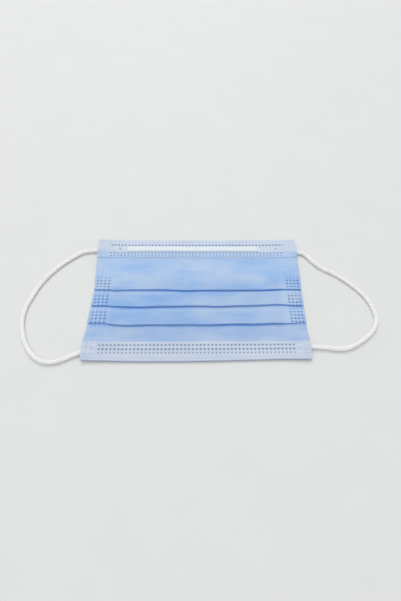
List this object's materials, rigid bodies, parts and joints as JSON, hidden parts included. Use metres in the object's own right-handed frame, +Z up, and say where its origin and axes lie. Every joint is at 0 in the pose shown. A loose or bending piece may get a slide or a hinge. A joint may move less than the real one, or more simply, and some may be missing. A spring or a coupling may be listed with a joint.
{
  "type": "medical face mask",
  "caption": "Flat-folded pleated face mask, blue outside and white inside, with a nose wire and round elastic ear loops, lying face up.",
  "frame": {"origin": "on the resting surface, under the middle of the folded mask without its ear loops", "axes": "+X along the width to the right as seen from the outer side, +Y from the chin edge to the nose edge, +Z up out of the outer side"},
  "size_m": [0.2379, 0.0976, 0.005],
  "materials": {
    "blue_cloth": "matte spunbond with point bonds",
    "white_cloth": "matte thin spunbond",
    "white_wire": "satin plastic sheath",
    "white_elastic": "matte knitted elastic"
  },
  "bodies": {
    "root": {"pleated_panel": "blue_cloth", "nose_binding": "white_cloth", "chin_binding": "white_cloth", "nose_wire": "white_wire", "ear_loop_left": "white_elastic", "ear_loop_right": "white_elastic", "loop_end_nose_left": "white_elastic", "loop_end_nose_right": "white_elastic", "loop_end_chin_left": "white_elastic", "loop_end_chin_right": "white_elastic"}
  },
  "joints": []
}
